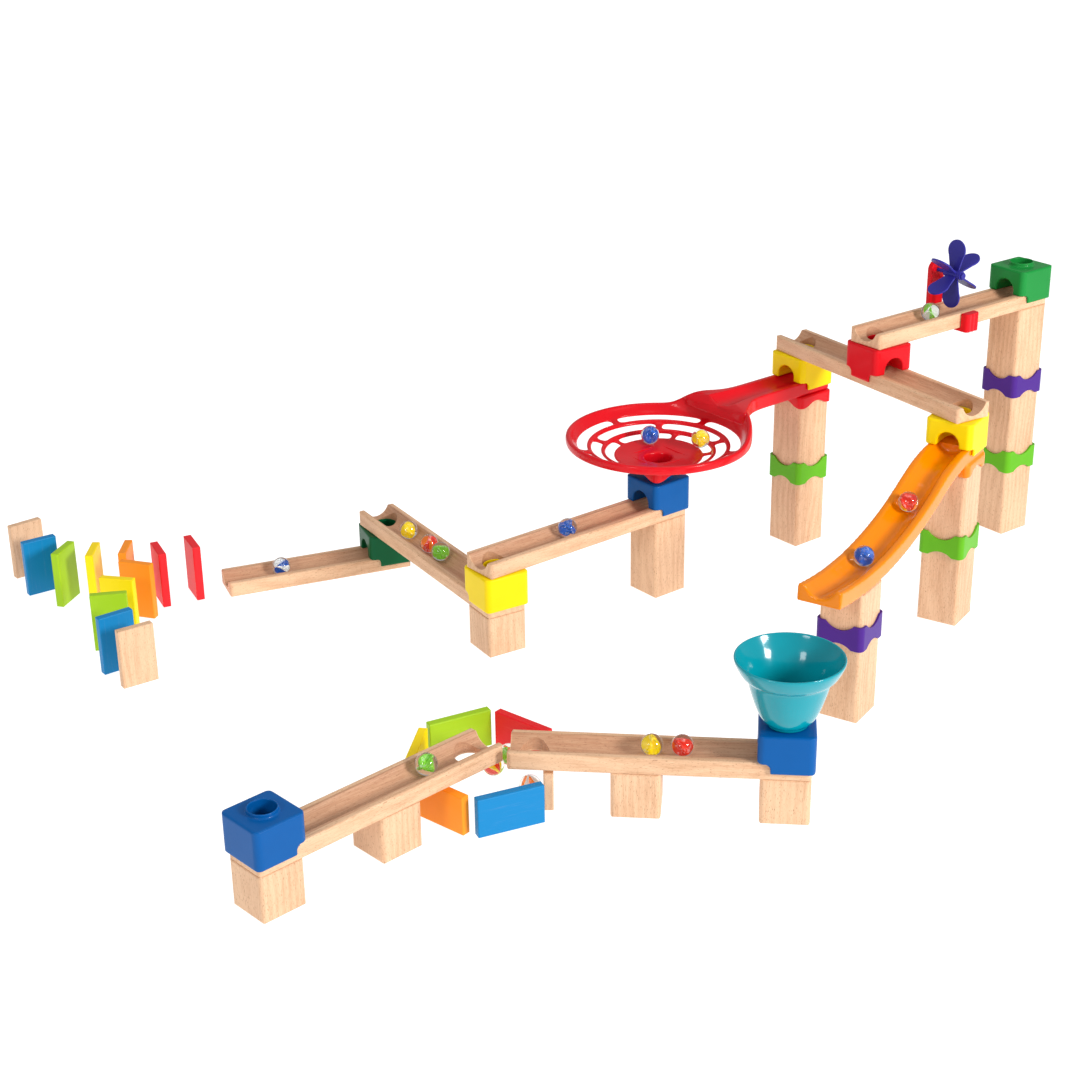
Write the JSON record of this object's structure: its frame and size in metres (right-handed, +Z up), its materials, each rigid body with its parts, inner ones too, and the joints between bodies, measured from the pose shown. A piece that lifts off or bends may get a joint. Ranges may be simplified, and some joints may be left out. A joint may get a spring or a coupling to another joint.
{
  "type": "marble run",
  "caption": "Wooden marble run of square posts, grooved rails and plastic blocks, with a spiral bowl, slide, funnel, paddle wheel, glass marbles and falling dominoes.",
  "frame": {"origin": "centre of the bounding box at floor level", "axes": "+X along the length of the layout towards the tall tower, +Y away from the front, +Z up"},
  "size_m": [0.9244, 0.6518, 0.2859],
  "materials": {
    "beech": "satin beech, fine grain, lightly oiled",
    "red_plastic": "glossy moulded ABS",
    "yellow_plastic": "glossy moulded ABS",
    "green_plastic": "glossy moulded ABS",
    "dark_green_plastic": "glossy moulded ABS",
    "blue_plastic": "glossy moulded ABS",
    "violet_plastic": "glossy moulded ABS",
    "purple_plastic": "satin moulded plastic",
    "lime_plastic": "satin moulded plastic",
    "orange_plastic": "glossy moulded ABS",
    "teal_plastic": "glossy moulded ABS",
    "domino_red": "satin painted wood",
    "domino_orange": "satin painted wood",
    "domino_yellow": "satin painted wood",
    "domino_green": "satin painted wood",
    "domino_blue": "satin painted wood",
    "domino_wood": "plain sanded wood",
    "glass": "clear glass with coloured vanes inside"
  },
  "bodies": {
    "track": {"top_block": "green_plastic", "cross_block": "red_plastic", "bowl_arm_block": "yellow_plastic", "slide_block": "yellow_plastic", "bowl_block": "blue_plastic", "corner_block": "yellow_plastic", "exit_block": "dark_green_plastic", "funnel_block": "blue_plastic", "front_block": "blue_plastic", "top_rail": "beech", "cross_rail": "beech", "middle_rail": "beech", "back_rail": "beech", "exit_rail": "beech", "funnel_rail": "beech", "front_rail": "beech", "spiral_bowl": "red_plastic", "slide": "orange_plastic", "funnel": "teal_plastic", "spinner_clip": "red_plastic", "spinner_axle": "red_plastic", "top_tower_posts": "beech", "bowl_arm_tower_posts": "beech", "slide_tower_posts": "beech", "slide_end_posts": "beech", "low_posts": "beech", "green_collars": "lime_plastic", "purple_collars": "purple_plastic", "pen_domino_yellow": "domino_yellow", "pen_domino_green": "domino_green", "pen_domino_red": "domino_red", "pen_domino_orange": "domino_orange", "pen_domino_blue": "domino_blue", "pen_domino_wood": "domino_wood", "marbles_pen": "glass"},
    "wheel": {"spinner_wheel": "violet_plastic"},
    "marble_top_rail_body": {"marble_top_rail": "glass"},
    "marble_middle_rail_body": {"marble_middle_rail": "glass"},
    "marble_back_rail_1_body": {"marble_back_rail_1": "glass"},
    "marble_back_rail_2_body": {"marble_back_rail_2": "glass"},
    "marble_back_rail_3_body": {"marble_back_rail_3": "glass"},
    "marble_exit_rail_body": {"marble_exit_rail": "glass"},
    "marbles_funnel_rail_body": {"marbles_funnel_rail": "glass"},
    "marble_front_rail_body": {"marble_front_rail": "glass"},
    "marble_slide_upper_body": {"marble_slide_upper": "glass"},
    "marble_slide_lower_body": {"marble_slide_lower": "glass"},
    "marble_bowl_upper_body": {"marble_bowl_upper": "glass"},
    "marble_bowl_lower_body": {"marble_bowl_lower": "glass"},
    "domino_red_1_body": {"domino_red_1": "domino_red"},
    "domino_red_2_body": {"domino_red_2": "domino_red"},
    "domino_back_orange_body": {"domino_back_orange": "domino_orange"},
    "domino_back_yellow_body": {"domino_back_yellow": "domino_yellow"},
    "domino_back_green_body": {"domino_back_green": "domino_green"},
    "domino_back_blue_body": {"domino_back_blue": "domino_blue"},
    "domino_back_wood_body": {"domino_back_wood": "domino_wood"},
    "domino_front_orange_body": {"domino_front_orange": "domino_orange"},
    "domino_front_yellow_body": {"domino_front_yellow": "domino_yellow"},
    "domino_front_green_body": {"domino_front_green": "domino_green"},
    "domino_front_blue_body": {"domino_front_blue": "domino_blue"},
    "domino_front_wood_body": {"domino_front_wood": "domino_wood"}
  },
  "joints": [
    {"name": "spinner_turn", "type": "hinge", "parent": "track", "child": "wheel", "pos_m": [0.36563, 0.2479, 0.2565], "axis": [0.5948, -0.8039, 0], "continuous": true},
    {"name": "top_rail_roll", "type": "slide", "parent": "track", "child": "marble_top_rail_body", "axis": [-0.8037, -0.5947, -0.0197], "range_m": [0, 0.046]},
    {"name": "middle_rail_roll", "type": "slide", "parent": "track", "child": "marble_middle_rail_body", "axis": [-0.7879, -0.6155, -0.0197], "range_m": [-0.099, 0.06]},
    {"name": "back_rail_roll_1", "type": "slide", "parent": "track", "child": "marble_back_rail_1_body", "axis": [-0.515, 0.857, -0.0177], "range_m": [-0.093, 0.0035]},
    {"name": "back_rail_roll_2", "type": "slide", "parent": "track", "child": "marble_back_rail_2_body", "axis": [-0.515, 0.857, -0.0177], "range_m": [0, 0.0205]},
    {"name": "back_rail_roll_3", "type": "slide", "parent": "track", "child": "marble_back_rail_3_body", "axis": [-0.515, 0.857, -0.0177], "range_m": [0, 0.031]},
    {"name": "exit_rail_roll", "type": "slide", "parent": "track", "child": "marble_exit_rail_body", "axis": [-0.9333, -0.3583, -0.0254], "range_m": [-0.096, 0.042]},
    {"name": "funnel_rail_roll", "type": "slide", "parent": "track", "child": "marbles_funnel_rail_body", "axis": [-0.9934, 0.1132, -0.0197], "range_m": [-0.0705, 0.067]},
    {"name": "front_rail_roll", "type": "slide", "parent": "track", "child": "marble_front_rail_body", "axis": [0.7312, 0.6819, -0.0197], "range_m": [-0.135, 0.024]},
    {"name": "slide_roll_upper", "type": "hinge", "parent": "track", "child": "marble_slide_upper_body", "pos_m": [0.23939, -0.05117, 0.447], "axis": [-0.8339, 0.5519, 0], "range_deg": [-4.4, 11.3]},
    {"name": "slide_roll_lower", "type": "hinge", "parent": "track", "child": "marble_slide_lower_body", "pos_m": [0.23939, -0.05117, 0.447], "axis": [-0.8339, 0.5519, 0], "range_deg": [0, 12]},
    {"name": "bowl_orbit_upper", "type": "hinge", "parent": "track", "child": "marble_bowl_upper_body", "pos_m": [0.1096, 0.1756, 0.125], "axis": [0, 0, 1], "continuous": true},
    {"name": "bowl_orbit_lower", "type": "hinge", "parent": "track", "child": "marble_bowl_lower_body", "pos_m": [0.1096, 0.1756, 0.125], "axis": [0, 0, 1], "continuous": true},
    {"name": "domino_red_1_fall", "type": "hinge", "parent": "track", "child": "domino_red_1_body", "pos_m": [-0.29618, 0.17655, 0], "axis": [0.4147, -0.91, 0], "range_deg": [0, 70]},
    {"name": "domino_red_2_fall", "type": "hinge", "parent": "track", "child": "domino_red_2_body", "pos_m": [-0.3232, 0.16358, 0], "axis": [0.4067, -0.9135, 0], "range_deg": [0, 70]},
    {"name": "domino_back_orange_fall", "type": "hinge", "parent": "track", "child": "domino_back_orange_body", "pos_m": [-0.3525, 0.16906, 0], "axis": [-0.0175, -0.9998, 0], "range_deg": [0, 70]},
    {"name": "domino_back_yellow_fall", "type": "hinge", "parent": "track", "child": "domino_back_yellow_body", "pos_m": [-0.38, 0.16556, 0], "axis": [-0.0175, -0.9998, 0], "range_deg": [0, 70]},
    {"name": "domino_back_green_fall", "type": "hinge", "parent": "track", "child": "domino_back_green_body", "pos_m": [-0.40636, 0.17049, 0], "axis": [-0.284, -0.9588, 0], "range_deg": [0, 70]},
    {"name": "domino_back_blue_fall", "type": "hinge", "parent": "track", "child": "domino_back_blue_body", "pos_m": [-0.43046, 0.1924, 0], "axis": [-0.829, -0.5592, 0], "range_deg": [0, 70]},
    {"name": "domino_back_wood_fall", "type": "hinge", "parent": "track", "child": "domino_back_wood_body", "pos_m": [-0.45145, 0.22968, 0], "axis": [-0.766, -0.6428, 0], "range_deg": [0, 87.5]},
    {"name": "domino_front_orange_fall", "type": "hinge", "parent": "track", "child": "domino_front_orange_body", "pos_m": [-0.33508, 0.13267, 0], "axis": [0.9511, -0.309, 0], "range_deg": [0, 70]},
    {"name": "domino_front_yellow_fall", "type": "hinge", "parent": "track", "child": "domino_front_yellow_body", "pos_m": [-0.34473, 0.10158, 0], "axis": [0.9781, -0.2079, 0], "range_deg": [0, 70]},
    {"name": "domino_front_green_fall", "type": "hinge", "parent": "track", "child": "domino_front_green_body", "pos_m": [-0.34495, 0.07154, 0], "axis": [0.9877, 0.1564, 0], "range_deg": [0, 70]},
    {"name": "domino_front_blue_fall", "type": "hinge", "parent": "track", "child": "domino_front_blue_body", "pos_m": [-0.33139, 0.0347, 0], "axis": [0.7986, 0.6018, 0], "range_deg": [0, 70]},
    {"name": "domino_front_wood_fall", "type": "hinge", "parent": "track", "child": "domino_front_wood_body", "pos_m": [-0.31107, 0.00958, 0], "axis": [0.8339, 0.5519, 0], "range_deg": [0, 87.5]}
  ],
  "couplings": [
    {"joint": "bowl_orbit_lower", "follows": "bowl_orbit_upper", "ratio": 1},
    {"joint": "domino_red_2_fall", "follows": "domino_red_1_fall", "ratio": 1},
    {"joint": "domino_back_orange_fall", "follows": "domino_red_1_fall", "ratio": 1},
    {"joint": "domino_back_yellow_fall", "follows": "domino_red_1_fall", "ratio": 1},
    {"joint": "domino_back_green_fall", "follows": "domino_red_1_fall", "ratio": 1},
    {"joint": "domino_back_blue_fall", "follows": "domino_red_1_fall", "ratio": 1},
    {"joint": "domino_back_wood_fall", "follows": "domino_red_1_fall", "ratio": 1.25},
    {"joint": "domino_front_orange_fall", "follows": "domino_red_1_fall", "ratio": 1},
    {"joint": "domino_front_yellow_fall", "follows": "domino_red_1_fall", "ratio": 1},
    {"joint": "domino_front_green_fall", "follows": "domino_red_1_fall", "ratio": 1},
    {"joint": "domino_front_blue_fall", "follows": "domino_red_1_fall", "ratio": 1},
    {"joint": "domino_front_wood_fall", "follows": "domino_red_1_fall", "ratio": 1.25}
  ]
}
